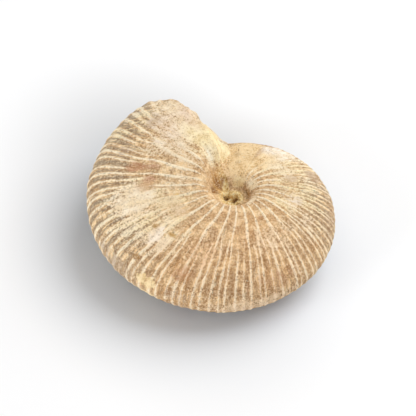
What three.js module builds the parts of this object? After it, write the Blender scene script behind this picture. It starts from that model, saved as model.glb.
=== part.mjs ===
// Ammonite fossil: the stone cast of a coiled shell, lying on its side on a level surface.
//
// One whorl section is carried round the coiling axis, and each turn makes it GROWTH times larger.
// Every whorl springs from the widest line of the whorl before and wraps the rest of it, so only the
// last turn shows, round a deep narrow umbilicus on each side. The last turn ends in a broken face
// that runs down on to the whorl before. Long ribs climb from the umbilicus. Two shorter ones rise
// beside each on the flank, and all of them cross the outer edge.
//
// The skin is one closed grid. A row follows the coil at one place on the section, and a column
// crosses the whorl from the umbilicus to the outer edge and down the other side. Lengths on the
// section are fractions of its own outer radius.
import * as THREE from 'three';

const { clamp, lerp } = THREE.MathUtils;
const TURN = 2 * Math.PI;

// The coil
const RADIUS = 53.6;               // mm, coiling axis to the outer edge where the last turn ends
const GROWTH = 2.1;                // the section's size after a turn over its size before
const APERTURE_DIRECTION = 2.12;   // rad about +Z from +X; the coil grows clockwise seen from +Z

// The whorl section
const WIDEST_AT = 0.306;           // distance of the widest line from the axis
const WIDEST_AT_END = 0.40;        // the same at the broken end
const HALF_WIDTH = 0.313;          // height of the widest line above the middle plane
const FLOOR_HEIGHT = 0.105;        // top of the stone that fills the umbilicus
const SEAM_RISE = 0.18;            // rad round the flank of the whorl before that the seam climbs at its end

// The ribs
const PRIMARIES = 31;              // long ribs in one turn
const BRANCHES = 3;                // ribs at the outer edge for each long one
const RIBS = PRIMARIES * BRANCHES;
const RIB_HEIGHT = 0.0075;
const EDGE_SHARE = 0.55;           // of that height, left at the outer edge
const LONG_RIB_START = 0.08;       // where ribs rise, from the seam, 0, to the outer edge, 1
const SHORT_RIB_START = 0.42;
const RIB_RISE = 0.14;             // over which they reach full height
const WORN_BEHIND = 0.1;           // rad of inner flank behind the broken end that has no ribs left
const BURIED = 0.7;                // rad of the whorl before that the last turn once covered
const FADE = 0.5;                  // rad over which ribs fade out on both

// The grid
const END_BLEND = 1.4;             // rad over which columns turn from the ribs to the broken edges
const COLUMNS = 2 * RIBS;          // one along each rib and one between each two
const FACE_COLUMNS = 5;            // inside the broken face
const INNER_ROWS = 4;              // from the axis to the seam
const OUTER_ROWS = 9;              // from the seam to the outer edge
const CROWDING = 1.2;              // draws the rows towards the tightly curved outer edge

// How it lies
const TIP_ABOUT_X = 0.119;         // rad
const TIP_ABOUT_Y = 0.031;         // rad
const WEAR = 0.5;                  // mm worn flat where it touches the surface

/** Eases from 0 to 1 as x goes from 0 to 1. */
function ease(x) {
  const t = clamp(x, 0, 1);
  return t * t * (3 - 2 * t);
}

/** How far the seam has climbed round the flank of the whorl before: only near the broken end. */
function seamClimb(turned) {
  return SEAM_RISE * ease((turned + 0.75) / 0.8);
}

/** An arc of an ellipse, clockwise from a start angle. */
function arc(centreX, centreY, radiusX, radiusY, start, sweep) {
  return new THREE.EllipseCurve(centreX, centreY, radiusX, radiusY, start, start - sweep, true);
}

/** The section, from the axis: the floor, the wall and flank of the whorl before, the wall, the flank. */
function makeSection(turned) {
  const quarter = Math.PI / 2;
  const before = new THREE.Vector2(WIDEST_AT, HALF_WIDTH).divideScalar(GROWTH);
  const foot = before.clone().divideScalar(GROWTH);
  const flank = arc(before.x, 0, (1 - WIDEST_AT) / GROWTH, before.y, quarter, seamClimb(turned));
  const seam = flank.getPoint(1);
  const widest = lerp(WIDEST_AT, WIDEST_AT_END, ease((turned + 0.7) / 0.8));
  const path = new THREE.CurvePath();
  path.add(new THREE.LineCurve(new THREE.Vector2(0, 0), foot));
  path.add(arc(before.x, foot.y, before.x - foot.x, before.y - foot.y, Math.PI, quarter));
  path.add(flank);
  path.add(arc(widest, seam.y, widest - seam.x, HALF_WIDTH - seam.y, Math.PI, quarter));
  path.add(arc(widest, 0, 1 - widest, HALF_WIDTH, quarter, quarter));
  return path;
}

/** Where the seam's row starts a turn before: on the flank, where the seam will have climbed to. */
function firstKnee() {
  const hidden = arc(WIDEST_AT, 0, 1 - WIDEST_AT, HALF_WIDTH, Math.PI / 2, SEAM_RISE);
  return makeSection(-TURN).getCurveLengths()[3] + hidden.getLength();
}

const FIRST_KNEE = firstKnee();

/** A row's length along a column's section, and its share across from the seam to the outer edge. */
function placeRow(row, turned, section) {
  const lengths = section.getCurveLengths();
  const [seam, whole] = [lengths[2], lengths[4]];
  const knee = lerp(FIRST_KNEE, seam, ease(turned / TURN + 1));
  const outwards = 1 - (1 - (row - INNER_ROWS) / OUTER_ROWS) ** CROWDING;
  const length = row <= INNER_ROWS ? knee * row / INNER_ROWS : lerp(knee, whole, outwards);
  return { share: length / whole, across: (length - seam) / (whole - seam) };
}

/** A rib's turning angle, from -TURN to 0 at the aperture, unevenly spaced as grown ribs are. */
function ribAngle(rib) {
  const uneven = 0.13 * Math.sin(2.4 * rib) + 0.08 * Math.sin(5.1 * rib + 1);
  const held = ease(Math.min(rib, RIBS - rib) / BRANCHES);
  return TURN * ((rib + uneven * held) / RIBS - 1);
}

/** The same at one place: on the inner flank, short ribs lie closer to the long rib beside them. */
function ribAngleAt(rib, across) {
  const long = clamp(Math.floor((rib + 2) / BRANCHES) * BRANCHES - 1, 0, RIBS);
  const spread = lerp(0.5, 1, ease((across - 0.40) / 0.22));
  return lerp(ribAngle(long), ribAngle(rib), spread);
}

/** How far a rib leans forward: over the inner flank, then the outer, most near the aperture. */
function ribLean(across, turned) {
  const inner = ease((across - 0.2) / 0.3);
  const outer = ease((across - 0.5) / 0.4);
  const innerLean = 0.09 + 0.14 * ease(1 + turned);
  const outerLean = 0.04 + 0.08 * ease((turned + 1.6) / 0.8);
  return innerLean * inner + outerLean * outer;
}

/** The height of a column's rib, lower at the outer edge and worn away by the broken end. */
function ribHeight(column, across, angle) {
  if (column % 2 === 1) {
    return 0;
  }
  const long = (column / 2) % BRANCHES === BRANCHES - 1;
  const rise = ease((across - (long ? LONG_RIB_START : SHORT_RIB_START)) / RIB_RISE);
  const behind = ease((-WORN_BEHIND - angle) / FADE + ease((across - 0.52) / 0.15));
  const before = ease((angle + TURN - BURIED) / FADE);
  return RIB_HEIGHT * rise * behind * before * lerp(1, EDGE_SHARE, ease((across - 0.5) / 0.5));
}

/** The angle of the broken lip past the aperture direction: level, but set back outwards. */
function lipEdge(across) {
  const outer = 0.10 * ease((across - 0.58) / 0.22) + 0.06 * clamp(across, 0, 1) ** 6;
  return 0.01 + 0.10 * (1 - ease(across / 0.3)) - outer;
}

/** The angle where the stone below the lip runs out on the whorl before, furthest on its flank. */
function apronEdge(across) {
  return 0.16 + 0.29 * ease((across - 0.34) / 0.22) - 0.10 * ease((across - 0.8) / 0.2);
}

/** The turning angle of a column, along a rib or half way between two. */
function columnAngle(column, across) {
  if (column === 0 || column === COLUMNS) {
    return column === 0 ? -TURN : 0;
  }
  return lerp(ribAngleAt(Math.floor(column / 2), across), ribAngleAt(Math.ceil(column / 2), across), 0.5);
}

const columns = Array.from({ length: COLUMNS + 1 }, (_, column) => {
  const turned = lerp(ribAngle(Math.floor(column / 2)), ribAngle(Math.ceil(column / 2)), 0.5);
  return { turned, section: makeSection(turned) };
});

/** A point of the upper skin, between the broken end's two edges along the coil, and its angle. */
function coilPoint(row, column) {
  const { section, turned: straight } = columns[column];
  const { share, across } = placeRow(row, straight, section);
  const turned = columnAngle(column, across);
  const lip = lipEdge(placeRow(row, 0, columns[COLUMNS].section).across);
  const apron = apronEdge(placeRow(row, -TURN, columns[0].section).across);
  const leant = lerp(ribLean(across, turned), lip, ease(1 + turned / END_BLEND));
  const angle = turned + lerp(leant, apron, ease(1 - (turned + TURN) / END_BLEND));

  const tangent = section.getTangent(share);
  const normal = new THREE.Vector2(-tangent.y, tangent.x);
  const flat = section.getPoint(share).addScaledVector(normal, ribHeight(column, across, angle));
  flat.multiplyScalar(RADIUS * GROWTH ** (angle / TURN));
  const direction = APERTURE_DIRECTION - angle;
  const height = row > INNER_ROWS ? flat.y : Math.max(flat.y, FLOOR_HEIGHT * RADIUS);
  const point = new THREE.Vector3(flat.x * Math.cos(direction), flat.x * Math.sin(direction), height);
  return { point, angle, across };
}

/** A line of the broken face: straight far out, but near the seam it leaves and arrives along the coil. */
function faceLine(row) {
  const [beforeLip, lip] = [coilPoint(row, COLUMNS - 1), coilPoint(row, COLUMNS)];
  const [apron, afterApron] = [coilPoint(row, 0), coilPoint(row, 1)];
  const straight = apron.point.clone().sub(lip.point);
  const leave = lip.point.clone().sub(beforeLip.point);
  leave.multiplyScalar(0.5 / (lip.angle - beforeLip.angle));
  const arrive = afterApron.point.clone().sub(apron.point);
  arrive.multiplyScalar(0.4 / (afterApron.angle - apron.angle));
  const bent = 1 - ease((lip.across - 0.35) / 0.25);
  const first = lip.point.clone().addScaledVector(straight.clone().lerp(leave, bent), 1 / 3);
  const second = apron.point.clone().addScaledVector(straight.clone().lerp(arrive, bent), -1 / 3);
  return new THREE.CubicBezierCurve3(lip.point, first, second, apron.point);
}

const faceLines = Array.from({ length: INNER_ROWS + OUTER_ROWS + 1 }, (_, row) => faceLine(row));

/** A point of the upper skin. Past the coil's last column, the broken face runs back to its first. */
function skinPoint(row, column) {
  if (column <= COLUMNS) {
    return coilPoint(row, column).point;
  }
  return faceLines[row].getPoint((column - COLUMNS) / (FACE_COLUMNS + 1));
}

/** The closed skin: the upper half, its mirror image below and a point on the axis at each end. */
function makeSkin() {
  const edgeRow = INNER_ROWS + OUTER_ROWS;
  const around = COLUMNS + 1 + FACE_COLUMNS;
  const positions = [];
  const numbers = new Map();

  function vertex(ring, column) {
    const row = Math.min(ring, 2 * edgeRow - ring);
    const wrapped = row <= INNER_ROWS && column >= COLUMNS ? 0 : column % around;
    const key = row === 0 ? `axis ${ring}` : `${ring} ${wrapped}`;
    if (!numbers.has(key)) {
      const point = skinPoint(row, wrapped);
      positions.push(point.x, point.y, ring > edgeRow ? -point.z : point.z);
      numbers.set(key, numbers.size);
    }
    return numbers.get(key);
  }

  const triangles = [];
  for (let ring = 0; ring < 2 * edgeRow; ring += 1) {
    for (let column = 0; column < around; column += 1) {
      const [a, b] = [vertex(ring, column), vertex(ring, column + 1)];
      const [c, d] = [vertex(ring + 1, column + 1), vertex(ring + 1, column)];
      triangles.push([a, b, c], [a, c, d]);
    }
  }
  const whole = triangles.filter(([a, b, c]) => a !== b && b !== c && c !== a);
  const geometry = new THREE.BufferGeometry();
  geometry.setAttribute('position', new THREE.Float32BufferAttribute(positions, 3));
  geometry.setIndex(whole.flat());
  return geometry;
}

/** Tips the coil as it lies, wears it flat where it touches, and centres it over the origin. */
function layDown(geometry) {
  geometry.rotateX(TIP_ABOUT_X);
  geometry.rotateY(TIP_ABOUT_Y);
  geometry.computeBoundingBox();
  const { min, max } = geometry.boundingBox;
  geometry.translate(-(min.x + max.x) / 2, -(min.y + max.y) / 2, -min.z - WEAR);
  const position = geometry.getAttribute('position');
  for (let i = 0; i < position.count; i += 1) {
    position.setZ(i, Math.max(position.getZ(i), 0));
  }
  geometry.computeVertexNormals();
}

const skin = makeSkin();
layDown(skin);
const stone = new THREE.MeshStandardMaterial({ color: 0xcfae86, roughness: 0.85, metalness: 0 });
const ammonite = new THREE.Mesh(skin, stone);
ammonite.name = 'ammonite';

const fossil = new THREE.Group();
fossil.add(ammonite);

export default fossil;
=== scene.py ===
import bpy
import numpy as np
from mathutils import Matrix, Vector


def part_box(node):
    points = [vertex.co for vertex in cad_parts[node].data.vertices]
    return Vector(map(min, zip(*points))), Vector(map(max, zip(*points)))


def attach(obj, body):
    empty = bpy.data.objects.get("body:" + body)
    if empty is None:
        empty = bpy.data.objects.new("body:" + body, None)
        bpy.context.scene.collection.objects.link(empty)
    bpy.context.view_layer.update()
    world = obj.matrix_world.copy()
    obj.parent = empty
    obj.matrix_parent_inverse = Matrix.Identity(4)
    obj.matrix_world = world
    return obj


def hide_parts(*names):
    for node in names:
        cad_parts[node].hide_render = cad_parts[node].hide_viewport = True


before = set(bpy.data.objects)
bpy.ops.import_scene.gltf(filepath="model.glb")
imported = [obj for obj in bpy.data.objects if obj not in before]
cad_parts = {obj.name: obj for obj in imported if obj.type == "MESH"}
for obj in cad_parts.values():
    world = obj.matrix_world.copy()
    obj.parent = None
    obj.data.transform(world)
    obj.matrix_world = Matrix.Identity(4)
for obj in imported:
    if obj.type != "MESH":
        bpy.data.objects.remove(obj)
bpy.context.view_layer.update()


# Camera: a long lens above the front of the fossil, looking down on the side it shows.
AIM = Vector((-0.0007, -0.0005, 0.0140))
CAMERA_DISTANCE = 0.378
CAMERA_AZIMUTH = np.radians(-3.39)      # of the line of sight, from +Y towards +X
CAMERA_ELEVATION = np.radians(43.48)
CAMERA_ROLL = np.radians(-0.97)
LENS = 100.7                            # on a sensor 36 mm wide


def facing(direction):
    """The turn of a camera or lamp that looks back along a direction, its top upwards."""
    return direction.to_track_quat("Z", "Y").to_matrix().to_4x4()


to_camera = Vector((
    -np.sin(CAMERA_AZIMUTH) * np.cos(CAMERA_ELEVATION),
    -np.cos(CAMERA_AZIMUTH) * np.cos(CAMERA_ELEVATION),
    np.sin(CAMERA_ELEVATION),
))
camera_data = bpy.data.cameras.new("camera")
camera_data.lens = LENS
camera_data.sensor_width = 36.0
camera = bpy.data.objects.new("camera", camera_data)
bpy.context.collection.objects.link(camera)
camera_place = Matrix.Translation(AIM + to_camera * CAMERA_DISTANCE)
camera.matrix_world = camera_place @ facing(to_camera) @ Matrix.Rotation(CAMERA_ROLL, 4, "Z")
bpy.context.scene.camera = camera


# The ammonite: a coiled shell filled with sediment and turned to limestone, all one piece. One whorl
# section is carried round the axis while it grows; each whorl springs from the widest line of the
# whorl before. Ribs, the broken end of the last turn and the filled umbilicus are all in one skin.
RADIUS = 0.0536                 # coiling axis to the outer edge where the last turn ends
GROWTH = 2.1                    # the section's size after a turn over its size before
APERTURE_DIRECTION = 2.12       # about +Z from +X; the coil grows clockwise seen from above
TURN = 2.0 * np.pi

# section and relief, as fractions of the section's own outer radius
WIDEST_AT = 0.306               # distance of the widest line from the axis
WIDEST_AT_APERTURE = 0.40       # and where the last turn ends
HALF_WIDTH = 0.313
FLOOR_HEIGHT = 0.105            # of the stone in the umbilicus, as a fraction of RADIUS
RIB_HEIGHT = 0.0075
EDGE_RELIEF = 0.55              # share of the ribs' height that is left at the outer edge

PRIMARIES = 31                  # long ribs in one turn
BRANCHES = 3                    # ribs at the outer edge for each long one
RIBS = PRIMARIES * BRANCHES

COLUMNS_PER_RIB = 6
COLUMNS = RIBS * COLUMNS_PER_RIB
FACE_COLUMNS = 34               # across the broken face
INNER_ROWS = 24                 # from the axis to the seam
OUTER_ROWS = 56                 # from the seam to the outer edge
EDGE_ROW = INNER_ROWS + OUTER_ROWS
RINGS = 2 * EDGE_ROW + 1

TIP_ABOUT_X = 0.119             # how it lies on its lower flank
TIP_ABOUT_Y = 0.031
WEAR = 0.0005                   # worn flat where it touches the surface


def ease(x):
    """Goes from 0 to 1 as x does, level at both ends: three x squared less two x cubed."""
    x = np.clip(x, 0.0, 1.0)
    return x * x * (3.0 - 2.0 * x)


def mix(a, b, share):
    """The value that lies the given share of the way from a to b."""
    return a + (b - a) * share


def quarter_lengths(a, b, steps=200):
    """Length round a quarter ellipse against its angle t, from the end of its half axis b."""
    t = np.linspace(0.0, np.pi / 2.0, steps)
    piece = np.hypot(np.diff(a * np.sin(t)), np.diff(b * np.cos(t)))
    return t, np.concatenate([[0.0], np.cumsum(piece)])


FLANK_ANGLE, FLANK_LENGTH = quarter_lengths(1.0 - WIDEST_AT, HALF_WIDTH)
FLOOR_LENGTH = np.hypot(WIDEST_AT, HALF_WIDTH) / GROWTH ** 2
WALL_CHORD = np.hypot(WIDEST_AT, HALF_WIDTH) * (1.0 - 1.0 / GROWTH)
WALL_LENGTH = np.pi / 2.0 * WALL_CHORD / np.sqrt(2.0)     # as of a quarter circle on that chord
SEAM_RISE = 0.18                # angle t on the flank of the whorl before that the seam climbs to


def seam_angle(turned):
    """Where the seam lies on the flank of the whorl before: it climbs as the aperture comes near."""
    return SEAM_RISE * ease((turned + 0.75) / 0.8)


def seam_arc(climb):
    """Length along the section from the axis to the seam."""
    return FLOOR_LENGTH + WALL_LENGTH / GROWTH + np.interp(climb, FLANK_ANGLE, FLANK_LENGTH) / GROWTH


def section(arc, climb, widest_at):
    """Distance and height at a length along the section from the axis, with the outward normal.

    The section is a straight line to the foot of the wall before, that wall, the flank of the whorl
    before as far as the seam, the whorl's own wall and its flank. Walls and flanks are quarter
    ellipses: a wall goes out as one less cos t and up as sin t, a flank out as sin t and down as cos t.
    """
    foot = np.array([WIDEST_AT, HALF_WIDTH]) / GROWTH ** 2
    inner_top = FLOOR_LENGTH + WALL_LENGTH / GROWTH
    seam = seam_arc(climb)
    seam_out = (WIDEST_AT + (1.0 - WIDEST_AT) * np.sin(climb)) / GROWTH
    seam_up = HALF_WIDTH * np.cos(climb) / GROWTH

    inner_t = np.pi / 2.0 * np.clip((arc - FLOOR_LENGTH) / (inner_top - FLOOR_LENGTH), 0.0, 1.0)
    before_t = np.interp((arc - inner_top) * GROWTH, FLANK_LENGTH, FLANK_ANGLE)
    wall_t = np.pi / 2.0 * np.clip((arc - seam) / WALL_LENGTH, 0.0, 1.0)
    flank_t = np.interp(arc - seam - WALL_LENGTH, FLANK_LENGTH, FLANK_ANGLE)
    pieces = [arc < FLOOR_LENGTH, arc < inner_top, arc < seam, arc < seam + WALL_LENGTH]

    out = np.select(pieces, [
        foot[0] * arc / FLOOR_LENGTH,
        (WIDEST_AT - (WIDEST_AT - foot[0] * GROWTH) * np.cos(inner_t)) / GROWTH,
        (WIDEST_AT + (1.0 - WIDEST_AT) * np.sin(before_t)) / GROWTH,
        widest_at - (widest_at - seam_out) * np.cos(wall_t),
    ], widest_at + (1.0 - widest_at) * np.sin(flank_t))
    up = np.select(pieces, [
        foot[1] * arc / FLOOR_LENGTH,
        (foot[1] * GROWTH + (HALF_WIDTH - foot[1] * GROWTH) * np.sin(inner_t)) / GROWTH,
        HALF_WIDTH * np.cos(before_t) / GROWTH,
        seam_up + (HALF_WIDTH - seam_up) * np.sin(wall_t),
    ], HALF_WIDTH * np.cos(flank_t))

    on_wall = arc < seam + WALL_LENGTH
    wall_out, wall_up = (widest_at - seam_out) * np.sin(wall_t), (HALF_WIDTH - seam_up) * np.cos(wall_t)
    flank_out, flank_up = (1.0 - widest_at) * np.cos(flank_t), -HALF_WIDTH * np.sin(flank_t)
    along_out = np.where(on_wall, wall_out, flank_out)
    along_up = np.where(on_wall, wall_up, flank_up)
    steep = np.hypot(along_out, along_up)
    return out, up, -along_up / steep, along_out / steep


def row_arc(row, turned):
    """A row's length along the section, and how far that is across the shell: 0 at the seam, 1 at
    the outer edge. The seam's row starts out on the flank of the whorl before, where the seam will
    lie a turn later, and draws in to the seam; the others spread evenly."""
    seam = seam_arc(seam_angle(turned))
    whole = seam + WALL_LENGTH + FLANK_LENGTH[-1]
    first = seam_arc(0.0) + WALL_LENGTH + np.interp(SEAM_RISE, FLANK_ANGLE, FLANK_LENGTH)
    knee = mix(first, seam, ease(turned / TURN + 1.0))
    outside = (row - INNER_ROWS) / OUTER_ROWS
    arc = np.where(row <= INNER_ROWS, knee * row / INNER_ROWS, mix(knee, whole, outside))
    return arc, (arc - seam) / (whole - seam)


# the turning angle goes from -TURN to 0 where the last turn ends, and ribs are counted along it
rib_number = np.arange(RIBS + 1)
rib_unevenness = 0.13 * np.sin(2.4 * rib_number) + 0.08 * np.sin(5.1 * rib_number + 1.0)
rib_unevenness *= ease(np.minimum(rib_number, RIBS - rib_number) / BRANCHES)
RIB_ANGLE = TURN * ((rib_number + rib_unevenness) / RIBS - 1.0)
RIB_PITCH = TURN / RIBS

LONG_RIB_START = 0.08           # how far across the shell it starts
SHORT_RIB_START = 0.42
LONG_RIB_WIDTH = 0.50           # of its crest on the inner flank, as a share of the pitch
RIB_WIDTH = 0.20                # of every crest farther out
LONG_RIB_STRENGTH = 1.12        # beside 1 for a short one


def rib_angle(rib, across):
    """The turning angle of a rib. A short rib draws in towards the long rib beside it, to half its
    distance on the inner flank."""
    rib = np.clip(rib, 0, RIBS).astype(int)
    long_rib = np.clip(((rib + 2) // BRANCHES) * BRANCHES - 1, 0, RIBS)
    spread = mix(0.5, 1.0, ease((across - 0.40) / 0.22))
    return mix(RIB_ANGLE[long_rib], RIB_ANGLE[rib], spread)


def rib_lean(across, turned):
    """How far ribs lean forward: over the inner flank, then over the outer, most near the aperture."""
    inner = (0.09 + 0.14 * ease(1.0 + turned)) * ease((across - 0.2) / 0.3)
    outer = (0.04 + 0.08 * ease((turned + 1.6) / 0.8)) * ease((across - 0.5) / 0.4)
    return inner + outer


def lip_edge(across):
    """The angle of the broken lip past the aperture direction: level, but set back outwards."""
    outer = 0.10 * ease((across - 0.58) / 0.22) + 0.06 * np.clip(across, 0.0, 1.0) ** 6
    return 0.01 + 0.10 * (1.0 - ease(across / 0.3)) - outer


def apron_edge(across):
    """The angle where the stone below the lip runs out on the whorl before, furthest on its flank."""
    return 0.16 + 0.29 * ease((across - 0.34) / 0.22) - 0.10 * ease((across - 0.8) / 0.2)


def unleaned(angle, across):
    """The turning angle at the foot of the rib that passes an angle, found in three steps."""
    turned = angle
    for _ in range(3):
        turned = angle - rib_lean(across, turned)
    return turned


def rib_relief(angle, across):
    """Relief of the ribs from 0 to about 1: the highest of the crests near by. A crest is the bell
    curve exp(-(d / w) squared) of the distance d from its line, and w narrows outwards."""
    turned = unleaned(angle, across)
    nearest = np.floor(np.interp(turned, RIB_ANGLE, rib_number))
    relief = np.zeros(angle.shape)
    for step in range(-2, 4):
        rib = nearest + step
        is_long = np.mod(rib, BRANCHES) == 2
        start = np.where(is_long, LONG_RIB_START, SHORT_RIB_START + 0.06 * np.sin(1.7 * rib))
        long_width = mix(LONG_RIB_WIDTH, RIB_WIDTH, ease((across - 0.30) / 0.30))
        width = np.where(is_long, long_width, RIB_WIDTH) * RIB_PITCH
        strength = np.where(is_long, LONG_RIB_STRENGTH, 1.0) + 0.15 * np.sin(3.3 * rib + 0.5)
        distance = turned - rib_angle(rib, across)
        crest = strength * ease((across - start) / 0.14) * np.exp(-(distance / width) ** 2)
        relief = np.maximum(relief, crest)
    return relief


LATTICE = 32                    # random numbers to a side of the cube that lumps are made from
LATTICE_SHIFT = 7.3             # keeps its planes off the axis


def lumps(points, size, seed):
    """Smooth random heights from 0 to 1 on points: a seeded cube of random numbers, a size apart and
    repeated, each point taking the eased mix of the eight round it."""
    lattice = np.random.default_rng(seed).random((LATTICE, LATTICE, LATTICE))
    scaled = points / size + LATTICE_SHIFT
    corner = np.floor(scaled).astype(int)
    share = ease(scaled - corner)
    total = np.zeros(points.shape[:-1])
    for offset in np.ndindex(2, 2, 2):
        weight = np.prod(np.where(offset, share, 1.0 - share), axis=-1)
        at = np.mod(corner + offset, LATTICE)
        total += weight * lattice[at[..., 0], at[..., 1], at[..., 2]]
    return total


def patch(angle, across, centre, reach):
    """A soft patch on the shell: 1 as far as a third of its reach, 0 from its reach and a third."""
    distance = np.hypot((angle - centre[0]) / reach[0], (across - centre[1]) / reach[1])
    return 1.0 - ease(distance - 0.33)


# the coil's grid: rings from the axis over the upper side, the outer edge and the lower side. Its
# columns follow the ribs and lean with them; the last ones turn into the lip, the first into the
# edge of the stone below it
EDGE_RUN = 1.4                  # angle over which they turn
ring = np.arange(RINGS)[:, None]
row = np.minimum(ring, RINGS - 1 - ring)
below = ring > EDGE_ROW
column = np.arange(COLUMNS + 1)[None, :] / COLUMNS_PER_RIB
straight = np.interp(column, rib_number, RIB_ANGLE)
arc, across = row_arc(row, straight)
lower_rib = np.minimum(np.floor(column), RIBS - 1)
turned = mix(rib_angle(lower_rib, across), rib_angle(lower_rib + 1, across), column - lower_rib)
turned[:, -1] = 0.0
turned[:, 0] = -TURN
angle = turned + rib_lean(across, turned)
angle = mix(angle, turned + lip_edge(across[:, -1:]), ease(1.0 + turned / EDGE_RUN))
angle = mix(angle, turned + apron_edge(across[:, :1]), ease(1.0 - (turned + TURN) / EDGE_RUN))

# ribs are worn off the inner flank behind the lip, and off the part that the last turn covered
unworn = ease((-0.10 - angle) / 0.5 + ease((across - 0.52) / 0.15))
unworn *= ease((angle + TURN - 0.7) / 0.4)
relief = rib_relief(angle, across) * unworn

widest_at = mix(WIDEST_AT, WIDEST_AT_APERTURE, ease((straight + 0.7) / 0.8))
distance, height, normal_out, normal_up = section(arc, seam_angle(straight), widest_at)
size = RADIUS * GROWTH ** (angle / TURN)
rise = RIB_HEIGHT * relief * mix(1.0, EDGE_RELIEF, ease((across - 0.5) / 0.5))
distance = size * (distance + normal_out * rise)
height = size * (height + normal_up * rise)
height = np.where(row > INNER_ROWS, height, np.maximum(height, FLOOR_HEIGHT * RADIUS))
height = np.where(below, -height, height)
direction = APERTURE_DIRECTION - angle
coil = np.stack([distance * np.cos(direction), distance * np.sin(direction), height], axis=-1)

# the broken face: from the last column back to the first, on the whorl before. Far out its lines
# are straight; near the seam they leave and arrive along the coil, as a cubic between the two
LEAVE_PULL = 0.5
ARRIVE_PULL = 0.4
share = (np.arange(1, FACE_COLUMNS + 1) / (FACE_COLUMNS + 1))[None, :, None]
straight_face = mix(coil[:, -1:], coil[:, :1], share)
step_out = (angle[:, -1] - angle[:, -2])[:, None, None]
step_in = (angle[:, 1] - angle[:, 0])[:, None, None]
leave = LEAVE_PULL * (coil[:, -1:] - coil[:, -2:-1]) / step_out
arrive = ARRIVE_PULL * (coil[:, 1:2] - coil[:, :1]) / step_in
bend = share * (1.0 - share) * (leave * (1.0 - share) - arrive * share)
bend += share * (1.0 - share) * (1.0 - 2.0 * share) * (coil[:, -1:] - coil[:, :1])
face = straight_face + bend * (1.0 - ease((across[:, -1:] - 0.35) / 0.25))[..., None]
skin = np.concatenate([coil, face], axis=1)
around = skin.shape[1]


def wide(values, on_face):
    """Values of the coil's grid, carried on over the face with the one value given."""
    return np.concatenate([values, np.full((RINGS, FACE_COLUMNS), on_face)], axis=1)


# how much the skin is smoothed: along the seam behind the lip, across the edge of the stone below
# the lip, and at the foot of the broken face
by_seam = (1.0 - ease(np.abs(across - 0.03) / 0.2)) * ease((angle + 1.0) / 0.4)
by_start = (1.0 - ease(np.abs(across - 0.42) / 0.2)) * (1.0 - ease((angle + TURN - 0.2) / 0.4))
fillet = wide(np.maximum(by_seam, by_start), 0.0)
face_side = 1.0 - ease((row - INNER_ROWS) / OUTER_ROWS / 0.34)
fillet[:, COLUMNS + 1:] = np.where(row > INNER_ROWS, face_side, 0.0)

# the fields are carried on over the broken face: the angle runs on past the lip, so that patches by
# the lip reach on to the face
FACE_ANGLE = 0.25
relief = wide(relief, 0.0)
unworn = wide(unworn, 0.0)
across = wide(across, 0.0)
across[:, COLUMNS + 1:] = across[:, COLUMNS:COLUMNS + 1]
angle = wide(angle, 0.0)
angle[:, COLUMNS + 1:] = FACE_ANGLE * share[..., 0]
broken = wide(np.zeros((RINGS, COLUMNS + 1)), 1.0)
broken *= ease((row - INNER_ROWS) / OUTER_ROWS / 0.25 - 0.5)

# a place for noise that follows the ribs: they stand one apart on a circle, and the third number
# goes from the seam to the outer edge, upwards or downwards
NOISE_ACROSS = 20.0
FACE_TURNING = -0.12
noise_radius = RIBS / TURN
turning = wide(turned, 0.0)
turning[:, COLUMNS:] = mix(0.0, FACE_TURNING, np.linspace(0.0, 1.0, FACE_COLUMNS + 1))
side = np.where(below, -1.0, 1.0)
shell_place = np.stack([
    noise_radius * np.cos(turning),
    noise_radius * np.sin(turning),
    NOISE_ACROSS * (across + 1.0) * side,
], axis=-1)

# number the grid: the broken face closes up at the seam's row, and each end ring is one point. A
# cell a, b, c, d makes two triangles, and those that have closed up are left out
number = np.arange(RINGS * around).reshape(RINGS, around)
inner = row[:, 0] <= INNER_ROWS
number[inner, COLUMNS:] = number[inner, :1]
number[0] = number[0, 0]
number[-1] = number[-1, 0]
used, number = np.unique(number, return_inverse=True)
number = number.reshape(RINGS, around)
a, b = number[:-1], np.roll(number, -1, axis=1)[:-1]
d, c = number[1:], np.roll(number, -1, axis=1)[1:]
triangles = np.concatenate([np.stack(corners, -1).reshape(-1, 3) for corners in ((a, b, c), (a, c, d))])
whole = (triangles[:, 0] != triangles[:, 1]) & (triangles[:, 1] != triangles[:, 2])
whole &= triangles[:, 2] != triangles[:, 0]
triangles = triangles[whole]
points = skin.reshape(-1, 3)[used]
relief, unworn, across, angle, broken, fillet = (
    values.reshape(-1)[used] for values in (relief, unworn, across, angle, broken, fillet)
)
shell_place = shell_place.reshape(-1, 3)[used]

# small pits in the stone that fills the upper umbilicus, by x and y from the axis
PITS = [(-0.0025, 0.0001), (-0.0019, -0.0001), (0.0002, -0.0011), (0.0008, -0.0009)]
PIT_RADIUS = 0.0009
pit = np.zeros(len(points))
for pit_x, pit_y in PITS:
    off_centre = np.hypot(points[:, 0] - pit_x, points[:, 1] - pit_y)
    pit = np.maximum(pit, np.exp(-(off_centre / PIT_RADIUS) ** 2))
pit *= (points[:, 2] > 0.0) & (across < 0.0)

# lay it down: tipped on its lower flank, centred on the solid's box and worn flat underneath
tip = np.array(Matrix.Rotation(TIP_ABOUT_Y, 3, "Y") @ Matrix.Rotation(TIP_ABOUT_X, 3, "X"))
points = points @ tip.T
low, high = points.min(axis=0), points.max(axis=0)
box_low, box_high = np.array(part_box("ammonite"))
points[:, :2] += (box_low + box_high - low - high)[:2] / 2.0
points[:, 2] -= low[2] + WEAR
points[:, 2] = np.maximum(points[:, 2], 0.0)

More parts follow.
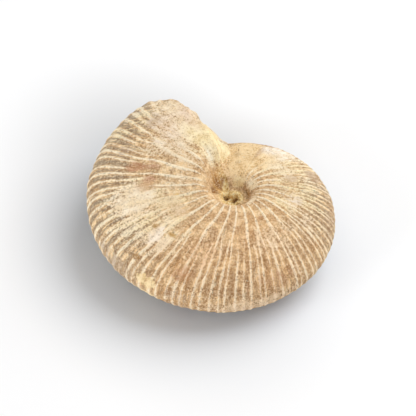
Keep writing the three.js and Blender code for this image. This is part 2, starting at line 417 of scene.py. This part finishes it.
# stains and weathered patches: centre and reach, each as turning angle and share across, then
# colour and strength
STAINS = [
    ((-0.22, 0.44), (0.36, 0.22), (0.84, 0.69, 0.54), 0.60),      # scoured band behind the lip
    ((0.10, 0.23), (0.44, 0.22), (0.95, 0.82, 0.50), 1.00),       # yellow sediment by the lip
    ((-0.08, 0.66), (0.14, 0.22), (0.92, 0.78, 0.56), 0.60),
    ((-0.60, 0.30), (0.25, 0.16), (0.80, 0.65, 0.45), 0.45),
    ((-1.30, 0.58), (0.15, 0.15), (0.85, 0.72, 0.50), 0.75),      # chalky crust
    ((-1.84, 0.66), (0.20, 0.08), (0.88, 0.74, 0.54), 0.50),
    ((-1.55, 0.42), (0.25, 0.10), (0.80, 0.64, 0.40), 0.60),
    ((-1.77, 0.82), (0.05, 0.025), (0.38, 0.20, 0.06), 0.90),
    ((-1.69, 0.59), (0.05, 0.022), (0.48, 0.27, 0.06), 0.85),
    ((-1.90, 0.57), (0.07, 0.018), (0.50, 0.29, 0.07), 0.80),
    ((-1.41, 0.34), (0.03, 0.022), (0.60, 0.34, 0.08), 0.90),
    ((-2.15, 0.81), (0.02, 0.015), (0.10, 0.05, 0.03), 0.90),
    ((-3.18, 0.34), (0.05, 0.03), (0.42, 0.20, 0.12), 0.70),
    ((-3.98, 0.50), (0.20, 0.10), (0.82, 0.70, 0.58), 0.50),      # pink-white
    ((-5.50, 0.48), (0.62, 0.44), (0.90, 0.68, 0.38), 0.95),      # bare sediment on the whorl before
    ((-5.06, 0.73), (0.25, 0.17), (0.96, 0.89, 0.76), 0.70),      # white crust
    ((-4.70, 0.50), (0.34, 0.12), (0.90, 0.78, 0.58), 0.50),
    ((-5.32, 0.60), (0.05, 0.15), (0.58, 0.38, 0.22), 0.80),      # ledge where the sediment ends
    ((-5.35, 0.83), (0.20, 0.03), (0.48, 0.28, 0.20), 0.80),
    ((-5.70, 0.52), (0.08, 0.05), (0.60, 0.42, 0.22), 0.75),
    ((-5.66, 0.38), (0.09, 0.04), (0.62, 0.44, 0.23), 0.75),
    ((-0.13, 0.11), (0.16, 0.06), (1.00, 0.95, 0.75), 1.00),
    ((-0.40, -0.01), (0.28, 0.07), (0.52, 0.27, 0.07), 1.00),     # brown sediment in the umbilicus
    ((-0.45, -0.04), (0.24, 0.05), (0.26, 0.11, 0.02), 1.00),
    ((-0.90, -0.01), (0.14, 0.04), (0.32, 0.15, 0.04), 1.00),
    # painted shadow: a dark line where the umbilicus' left wall meets the sediment
    ((-0.12, -0.07), (0.20, 0.022), (0.32, 0.15, 0.04), 1.00),
    ((-0.66, -0.05), (0.07, 0.020), (0.60, 0.33, 0.10), 0.85),
    # brown sediment on the umbilicus' right wall, darkened as painted shade
    ((-4.45, 0.03), (0.42, 0.040), (0.50, 0.31, 0.12), 0.85),
    # painted light where the umbilicus' wall lies in shade
    ((-5.46, 0.09), (0.44, 0.08), (1.00, 0.84, 0.50), 1.00),
    ((-4.64, 0.13), (0.42, 0.06), (1.00, 0.90, 0.68), 0.85),      # pale rim of the umbilicus, painted light on its shaded wall
    ((-3.45, 0.14), (0.40, 0.05), (1.00, 0.90, 0.70), 0.80),
    ((-3.16, 0.54), (0.36, 0.13), (0.96, 0.82, 0.62), 0.60),      # thin lime over the flank
    ((-3.75, 0.66), (0.14, 0.10), (0.92, 0.80, 0.64), 0.45),
    ((-2.82, 0.98), (0.42, 0.05), (1.00, 0.84, 0.63), 0.80),
    ((-2.30, 0.60), (0.18, 0.14), (0.88, 0.65, 0.42), 0.50),
    ((-1.30, 0.63), (0.24, 0.16), (0.99, 0.87, 0.68), 0.80),
    ((-1.09, 0.26), (0.12, 0.06), (0.95, 0.80, 0.58), 0.45),
    ((-0.64, 0.48), (0.12, 0.10), (0.96, 0.85, 0.66), 0.45),
    ((-3.98, 0.89), (0.30, 0.10), (0.50, 0.35, 0.23), 0.55),      # bare brown stone
    ((-4.53, 0.79), (0.14, 0.11), (0.48, 0.33, 0.21), 0.65),
    ((-4.48, 0.52), (0.12, 0.08), (0.56, 0.38, 0.23), 0.50),
    ((-1.62, 0.95), (0.24, 0.07), (0.50, 0.39, 0.29), 0.65),
    ((-3.02, 0.86), (0.22, 0.09), (0.58, 0.35, 0.20), 0.55),
    ((-2.17, 0.79), (0.16, 0.07), (0.60, 0.35, 0.19), 0.50),
    ((-1.69, 0.39), (0.16, 0.06), (0.62, 0.42, 0.25), 0.45),
    ((-0.68, 0.68), (0.10, 0.05), (0.46, 0.33, 0.24), 0.50),
    ((-0.31, 0.59), (0.10, 0.06), (0.50, 0.37, 0.26), 0.45),
    ((-2.20, 0.95), (0.16, 0.06), (0.50, 0.36, 0.25), 0.50),
    ((-0.02, 0.37), (0.10, 0.14), (0.76, 0.56, 0.45), 0.50),
    ((-0.89, 0.57), (0.07, 0.08), (0.54, 0.26, 0.13), 0.82),      # rust
    ((-0.86, 0.46), (0.07, 0.06), (0.64, 0.38, 0.25), 0.60),
    ((-1.06, 0.48), (0.07, 0.05), (0.54, 0.28, 0.16), 0.65),
    ((-1.16, 0.50), (0.08, 0.08), (0.55, 0.30, 0.13), 0.60),
    ((-1.94, 0.93), (0.10, 0.05), (0.93, 0.77, 0.45), 1.00),      # yellow crust at the edge
    ((-5.22, 0.71), (0.13, 0.11), (0.99, 0.95, 0.88), 0.90),      # lime, still white
    ((-1.76, 0.63), (0.07, 0.07), (0.99, 0.92, 0.80), 0.90),
]


def painted(stains, angle, across):
    """Colour and strength of the stains at each place, each stain laid over those before it."""
    colour = np.zeros(angle.shape + (4,))
    for centre, reach, tone, strength in stains:
        share = patch(angle, across, centre, reach) * strength
        covered = colour[..., 3] * (1.0 - share)
        total = np.maximum(covered + share, 1e-6)[..., None]
        laid = np.array(tone) * share[..., None]
        colour[..., :3] = (colour[..., :3] * covered[..., None] + laid) / total
        colour[..., 3] = covered + share
    return colour


stain = painted(STAINS, angle, across)

# where the crust is chalky: centre, reach and strength of each patch
CHALK_EVERYWHERE = 0.30
CHALK_PATCHES = [
    ((-1.50, 0.56), (0.58, 0.36), 0.70),
    ((-0.25, 0.50), (0.45, 0.35), 0.55),
    ((-4.70, 0.60), (0.75, 0.36), 0.65),
    ((-3.90, 0.50), (0.35, 0.25), 0.50),
    ((-0.55, 0.86), (0.40, 0.12), 0.45),
    ((-1.94, 0.93), (0.12, 0.07), 0.45),
]
chalk = np.full(len(points), CHALK_EVERYWHERE)
for centre, reach, strength in CHALK_PATCHES:
    chalk += strength * patch(angle, across, centre, reach)

# hollow: the filled umbilicus. deep: sediment on its wall. dusk: grey, dark furrows, with its patch on
# the right side painted shade. warm: pinker stone. ribbed: where stains leave the furrows dark, partly
# as painted shade, which thick chalk doesn't
hollow = (1.0 - ease((across + 0.08) / 0.05)) * (1.0 - broken)
deep = (1.0 - ease((across + 0.02) / 0.05)) * (0.35 + 0.65 * ease((angle + 1.1) / 0.4))
left_dusk = (1.0 - ease((angle + 0.20) / 0.3)) * ease((angle + 2.2) / 0.8) * ease((across - 0.50) / 0.15)
dusk_and_shade = np.maximum(left_dusk, patch(angle, across, (-4.10, 0.86), (0.55, 0.28)))
warm = patch(angle, across, (-2.70, 0.66), (1.10, 0.50))
ribbed = unworn * ease((across - 0.30) / 0.20) * (1.0 - 0.9 * ease((chalk - 0.40) / 0.3))

mesh = bpy.data.meshes.new("ammonite_stone")
mesh.from_pydata(points, [], triangles)
normal = np.empty(len(points) * 3)
mesh.vertex_normals.foreach_get("vector", normal)
normal = normal.reshape(-1, 3)

# lumps of the stone: where they are, their height and their size; they fade out near the ground
LUMPS = [
    (1.0, 0.0005, 0.009), (1.0, 0.00012, 0.0014),
    (broken, 0.0024, 0.005), (broken, 0.0010, 0.0016),
    (hollow, 0.0018, 0.0019), (hollow, 0.0008, 0.0009),
]
PIT_DEPTH = 0.0010
FADE_HEIGHT = 0.003
swell = -PIT_DEPTH * pit
for seed, (where, lump_height, lump_size) in enumerate(LUMPS, start=1):
    swell += where * lump_height * (lumps(points, lump_size, seed) - 0.5)
swell *= ease(points[:, 2] / FADE_HEIGHT)
points += normal * swell[:, None]
points[:, 2] = np.maximum(points[:, 2], 0.0)


def smoothed(points, ends, share, rounds):
    """Points smoothed round by round: each goes its share of the way to the mean middle of its
    edges. An edge is the numbers of the two points at its ends."""
    edges_at = np.bincount(ends.ravel(), minlength=len(points))
    for _ in range(rounds):
        middle = np.repeat(points[ends].mean(axis=1), 2, axis=0)
        total = [np.bincount(ends.ravel(), middle[:, axis], len(points)) for axis in range(3)]
        points = mix(points, np.stack(total, axis=-1) / edges_at[:, None], share[:, None])
    return points


FILLET_ROUNDS = 80
FILLET_STEP = 0.5               # share of the way that a point goes where the fillet is full
FILLET_LEAST = 0.01
ends = np.empty(len(mesh.edges) * 2, np.int32)
mesh.edges.foreach_get("vertices", ends)
fillet_share = FILLET_STEP * np.where(fillet > FILLET_LEAST, fillet, 0.0)
points = smoothed(points, ends.reshape(-1, 2), fillet_share, FILLET_ROUNDS)
mesh.vertices.foreach_set("co", points.ravel())
mesh.update()
mesh.shade_smooth()
fields = {
    "crest": relief, "broken": broken, "across": across, "hollow": hollow, "deep": deep,
    "dusk_and_shade": dusk_and_shade, "chalk": chalk, "pit": pit, "warm": warm, "ribbed": ribbed,
}
for name, values in fields.items():
    layer = mesh.attributes.new(name, "FLOAT", "POINT")
    layer.data.foreach_set("value", values.astype(np.float32))
layer = mesh.attributes.new("shell_place", "FLOAT_VECTOR", "POINT")
layer.data.foreach_set("vector", shell_place.astype(np.float32).ravel())
layer = mesh.attributes.new("stain", "FLOAT_COLOR", "POINT")
layer.data.foreach_set("color", stain.astype(np.float32).ravel())
ammonite = bpy.data.objects.new("ammonite_stone", mesh)
bpy.context.collection.objects.link(ammonite)

# its material: tan limestone, with colours from the fields on the mesh torn by noise at many sizes
TAN = (0.65, 0.39, 0.18, 1.0)
DULL_TAN = (0.58, 0.375, 0.20, 1.0)
LIGHT_TAN = (0.88, 0.63, 0.35, 1.0)
# dark brown of the furrows, partly painted shade
FURROW_BROWN_AND_SHADE = (0.32, 0.17, 0.065, 1.0)
# grey of the dusky furrows, painted shade on the right side
FURROW_GREY_SHADE = (0.26, 0.19, 0.125, 1.0)
# cream of the crests, partly painted highlight
CREST_CREAM_HIGHLIGHT = (0.99, 0.86, 0.63, 1.0)
BROWN_FLECK = (0.22, 0.12, 0.055, 1.0)
PALE_FLECK = (0.90, 0.76, 0.55, 1.0)
GOLDEN_FLECK = (0.46, 0.25, 0.07, 1.0)
YELLOW_CHALK = (0.96, 0.80, 0.48, 1.0)
PALE_CHALK = (0.96, 0.84, 0.61, 1.0)
BROKEN_DARK = (0.56, 0.41, 0.25, 1.0)
BROKEN_LIGHT = (0.78, 0.62, 0.41, 1.0)
SEDIMENT_DARK = (0.50, 0.26, 0.07, 1.0)
SEDIMENT_LIGHT = (0.84, 0.54, 0.20, 1.0)
FILL_DARK = (0.72, 0.44, 0.14, 1.0)
FILL_LIGHT = (1.0, 0.86, 0.46, 1.0)
DARK_GRAIN = (0.22, 0.115, 0.045, 1.0)
LIGHT_GRAIN = (1.0, 0.87, 0.63, 1.0)
# dark brown painted into the pits as shade
PIT_PAINTED_SHADE = (0.17, 0.08, 0.025, 1.0)

# factors that colours are multiplied by
STAIN_DULLED = (0.93, 0.84, 0.72, 1.0)
STAIN_LIFTED = (1.05, 1.05, 1.08, 1.0)
# stains darker in the furrows, partly painted shade
STAIN_SHADED_IN_FURROW = (0.80, 0.72, 0.62, 1.0)
WARMED = (1.03, 0.955, 0.90, 1.0)

limestone = bpy.data.materials.new("limestone")
limestone.use_nodes = True
stone = limestone.node_tree
shader = stone.nodes["Principled BSDF"]


def node(tree, kind, inputs, **settings):
    """Adds a node: its inputs are numbers, colours or other nodes' outputs, by name or place."""
    made = tree.nodes.new("ShaderNode" + kind)
    for name, value in settings.items():
        setattr(made, name, value)
    for key, value in inputs.items():
        if isinstance(value, bpy.types.NodeSocket):
            tree.links.new(value, made.inputs[key])
        else:
            made.inputs[key].default_value = value
    return made


def field(name):
    """The socket of a value stored on the mesh."""
    return node(stone, "Attribute", {}, attribute_name=name).outputs["Fac"]


def maths(operation, first, second):
    """One step of arithmetic on two values, each a number or a socket."""
    return node(stone, "Math", {0: first, 1: second}, operation=operation).outputs[0]


def product(first, second):
    """The first value times the second."""
    return maths("MULTIPLY", first, second)


def rest(value):
    """What a value leaves of 1."""
    return maths("SUBTRACT", 1.0, value)


def torn(value, pattern, amount):
    """A value made ragged: an amount times what the pattern has above 0.5 is added to it."""
    return maths("ADD", value, product(maths("SUBTRACT", pattern, 0.5), amount))


def ramp(value, start, end):
    """Goes from 0 to 1 while a value goes from start to end, up or down, level at both ends."""
    settings = {"interpolation_type": "SMOOTHSTEP"}
    return node(stone, "MapRange", {0: value, 1: start, 2: end}, **settings).outputs[0]


def blend(share, first, second, kind="MIX"):
    """A colour that lies a share of the way from the first to the second, or is multiplied by it."""
    made = node(stone, "Mix", {0: share, 6: first, 7: second}, data_type="RGBA", blend_type=kind)
    return made.outputs[2]


def noise(place, scale, detail=3.0, roughness=0.6):
    """Fractal noise, mostly between 0.3 and 0.7, with the given number of lumps to a unit."""
    inputs = {"Vector": place, "Scale": scale, "Detail": detail, "Roughness": roughness}
    return node(stone, "TexNoise", inputs).outputs[0]


# noise through the stone, scaled in lumps to a metre, and noise drawn out along the ribs
everywhere = node(stone, "TexCoord", {}).outputs["Object"]
on_shell = node(stone, "Attribute", {}, attribute_name="shell_place").outputs["Vector"]
along_ribs = node(stone, "Mapping", {"Vector": on_shell, "Scale": (1.0, 1.0, 0.22)}).outputs[0]
drift = noise(everywhere, 60.0, 3.0)
blotch = noise(everywhere, 280.0, 4.0, 0.65)
speckle = noise(everywhere, 1300.0, 3.0, 0.75)
grain = noise(everywhere, 2600.0, 2.0, 0.8)
streak = noise(along_ribs, 3.4, 4.0, 0.7)
mottle = noise(along_ribs, 1.1, 6.0, 0.75)

# tan stone, dark in the furrows between the ribs, partly its own brown and partly painted shade, most of
# all where it is dusky
colour = blend(ramp(drift, 0.38, 0.62), TAN, DULL_TAN)
colour = blend(ramp(blotch, 0.46, 0.62), colour, LIGHT_TAN)
ragged = torn(field("crest"), speckle, 1.2)
furrow = product(rest(ramp(ragged, 0.05, 0.35)), ramp(streak, 0.38, 0.52))
furrow = product(furrow, ramp(field("across"), 0.15, 0.75))
colour = blend(product(furrow, 0.60), colour, FURROW_BROWN_AND_SHADE)
colour = blend(product(product(furrow, field("dusk_and_shade")), 0.80), colour, FURROW_GREY_SHADE)

# cream crests, partly the stone's colour and partly painted highlight, broken up by mottling and a
# little fuller on the inner flank
crest_highlight = torn(torn(field("crest"), speckle, 1.1), mottle, 2.4)
crest_highlight = maths("ADD", crest_highlight, product(ramp(field("across"), 0.50, 0.10), 0.20))
colour = blend(product(ramp(crest_highlight, 0.48, 0.90), 0.95), colour, CREST_CREAM_HIGHLIGHT)

# brown and pale flecks
brown_fleck = ramp(noise(everywhere, 900.0, 3.0, 0.8), 0.57, 0.67)
colour = blend(product(brown_fleck, 0.60), colour, BROWN_FLECK)
pale_fleck = ramp(noise(everywhere, 1250.0, 3.0, 0.8), 0.57, 0.67)
colour = blend(product(pale_fleck, 0.50), colour, PALE_FLECK)

# chalky crust, thin in the furrows, with golden-brown flecks where it is thick
crust = torn(torn(mottle, field("chalk"), 0.26), speckle, 0.25)
crust = product(ramp(crust, 0.53, 0.65), maths("SUBTRACT", 0.85, product(furrow, 0.75)))
colour = blend(crust, colour, blend(ramp(drift, 0.40, 0.60), YELLOW_CHALK, PALE_CHALK))
golden_fleck = ramp(noise(everywhere, 620.0, 3.0, 0.75), 0.60, 0.66)
golden_fleck = product(golden_fleck, ramp(field("chalk"), 0.70, 1.0))
colour = blend(product(golden_fleck, 0.75), colour, GOLDEN_FLECK)

# the broken face, the sediment on the umbilicus' wall and the stone that fills it
face_colour = blend(ramp(blotch, 0.35, 0.65), BROKEN_DARK, BROKEN_LIGHT)
colour = blend(field("broken"), colour, face_colour)
by_speckle = ramp(speckle, 0.35, 0.65)
colour = blend(product(field("deep"), 0.8), colour, blend(by_speckle, SEDIMENT_DARK, SEDIMENT_LIGHT))
colour = blend(field("hollow"), colour, blend(by_speckle, FILL_DARK, FILL_LIGHT))

# stains with torn edges, uneven in tone and darker in the furrows
painted_stain = node(stone, "Attribute", {}, attribute_name="stain")
stained = torn(torn(painted_stain.outputs["Alpha"], mottle, 2.2), streak, 1.8)
stained = product(ramp(torn(stained, speckle, 1.8), 0.25, 0.70), 0.9)
stain_tone = blend(ramp(blotch, 0.38, 0.62), STAIN_DULLED, STAIN_LIFTED)
# stains are darker in the furrows, partly as painted shade
in_furrow = product(rest(ramp(ragged, 0.10, 0.60)), field("ribbed"))
stain_tone = blend(in_furrow, stain_tone, STAIN_SHADED_IN_FURROW)
stain_colour = blend(1.0, painted_stain.outputs["Color"], stain_tone, "MULTIPLY")
colour = blend(stained, colour, stain_colour)

# dark and light grains; the dark ones are fewer in stains and come and go in blotches
grains = maths("ADD", product(grain, 0.5), product(speckle, 0.5))
freckled = maths("ADD", product(ramp(blotch, 0.60, 0.42), 0.50), 0.28)
dark = product(ramp(grains, 0.51, 0.37), product(rest(product(stained, 0.5)), freckled))
colour = blend(dark, colour, DARK_GRAIN)
colour = blend(product(ramp(grains, 0.51, 0.64), 0.62), colour, LIGHT_GRAIN)

colour = blend(field("warm"), colour, blend(1.0, colour, WARMED, "MULTIPLY"))
# painted shade: the pits are coloured dark brown
colour = blend(ramp(torn(field("pit"), grains, 4.0), 0.45, 0.95), colour, PIT_PAINTED_SHADE)
stone.links.new(colour, shader.inputs["Base Color"])
shader.inputs["Roughness"].default_value = 0.92
shader.inputs["Specular IOR Level"].default_value = 0.25

# the finest grain as bump, its heights in metres
fine = maths("ADD", product(speckle, 0.00022), product(grain, 0.00006))
fine = maths("ADD", fine, product(streak, 0.00012))
bump = node(stone, "Bump", {"Height": fine, "Distance": 1.0, "Strength": 0.8})
stone.links.new(bump.outputs[0], shader.inputs["Normal"])
mesh.materials.append(limestone)
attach(ammonite, "root")
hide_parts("ammonite")


# The ground: a pale sheet of paper with a painted shadow round the fossil, a soft darker oval, and a
# painted cool tint where the stone hangs over it and throws warm light on it. A broad soft lamp stands
# behind on the right, a smaller one in front on the left, and the room is pale.
GROUND_HALF = 3.0
OVAL_MIDDLE = (-0.0160, 0.0140, 0.0)
OVAL_TURN = 0.43
OVAL_STRETCH = 1.65                             # its length over its width
OVAL_HALF_WIDTH = 0.0655
# the grey of the painted shadow in the middle of the oval
PAINTED_SHADOW_GREY = (0.459, 0.467, 0.478, 1.0)
OPEN_WHITE = (0.945, 0.946, 0.950, 1.0)
PAINTED_COOL_UNDER_STONE = (0.91, 1.035, 1.20, 1.0)          # painted cool tint: a factor that takes out the stone's warm light
UNDER_REACH = 0.03

half = GROUND_HALF
ground_mesh = bpy.data.meshes.new("ground")
corners = [(-half, -half, 0), (half, -half, 0), (half, half, 0), (-half, half, 0)]
ground_mesh.from_pydata(corners, [], [(0, 1, 2, 3)])
ground = bpy.data.objects.new("ground", ground_mesh)
bpy.context.collection.objects.link(ground)
paper = bpy.data.materials.new("paper_with_painted_shadow")
paper.use_nodes = True
sheet = paper.node_tree
place = {
    "Vector": node(sheet, "TexCoord", {}).outputs["Object"],
    "Location": OVAL_MIDDLE,
    "Rotation": (0.0, 0.0, OVAL_TURN),
    "Scale": (1.0, OVAL_STRETCH, 1.0),
}
in_oval = node(sheet, "Mapping", place, vector_type="TEXTURE").outputs[0]
out = node(sheet, "VectorMath", {0: in_oval}, operation="LENGTH").outputs["Value"]
reach = {0: out, 1: 0.0, 2: OVAL_HALF_WIDTH}
beyond = node(sheet, "MapRange", reach, interpolation_type="SMOOTHSTEP").outputs[0]
# painted shadow: grey in the middle of the oval, white beyond it
shadow_tones = {0: beyond, 6: PAINTED_SHADOW_GREY, 7: OPEN_WHITE}
tone = node(sheet, "Mix", shadow_tones, data_type="RGBA").outputs[2]
# painted cool tint, strongest where the stone hangs close over the ground
openness = node(sheet, "AmbientOcclusion", {"Distance": UNDER_REACH}).outputs["AO"]
casts = {0: openness, 6: PAINTED_COOL_UNDER_STONE, 7: (1.0, 1.0, 1.0, 1.0)}
cast = node(sheet, "Mix", casts, data_type="RGBA").outputs[2]
cooled = {0: 1.0, 6: tone, 7: cast}
tone = node(sheet, "Mix", cooled, data_type="RGBA", blend_type="MULTIPLY").outputs[2]
sheet.links.new(tone, sheet.nodes["Principled BSDF"].inputs["Base Color"])
sheet.nodes["Principled BSDF"].inputs["Roughness"].default_value = 0.9
ground_mesh.materials.append(paper)


def round_lamp(name, place, diameter, power):
    """A soft round lamp that shines from a place at the middle of the ground."""
    data = bpy.data.lights.new(name, "AREA")
    data.shape = "DISK"
    data.size = diameter
    data.energy = power
    lamp = bpy.data.objects.new(name, data)
    bpy.context.collection.objects.link(lamp)
    lamp.matrix_world = Matrix.Translation(place) @ facing(place)


round_lamp("soft_lamp", Vector((0.49, 0.33, 0.63)), diameter=0.9, power=6.6)
round_lamp("fill_lamp", Vector((-0.80, -0.50, 0.22)), diameter=0.6, power=5.4)

room = bpy.data.worlds.new("pale_room")
room.use_nodes = True
walls = room.node_tree.nodes["Background"]
walls.inputs["Color"].default_value = (1.0, 1.0, 1.0, 1.0)
walls.inputs["Strength"].default_value = 0.46
bpy.context.scene.world = room
bpy.context.scene.view_settings.view_transform = "Standard"
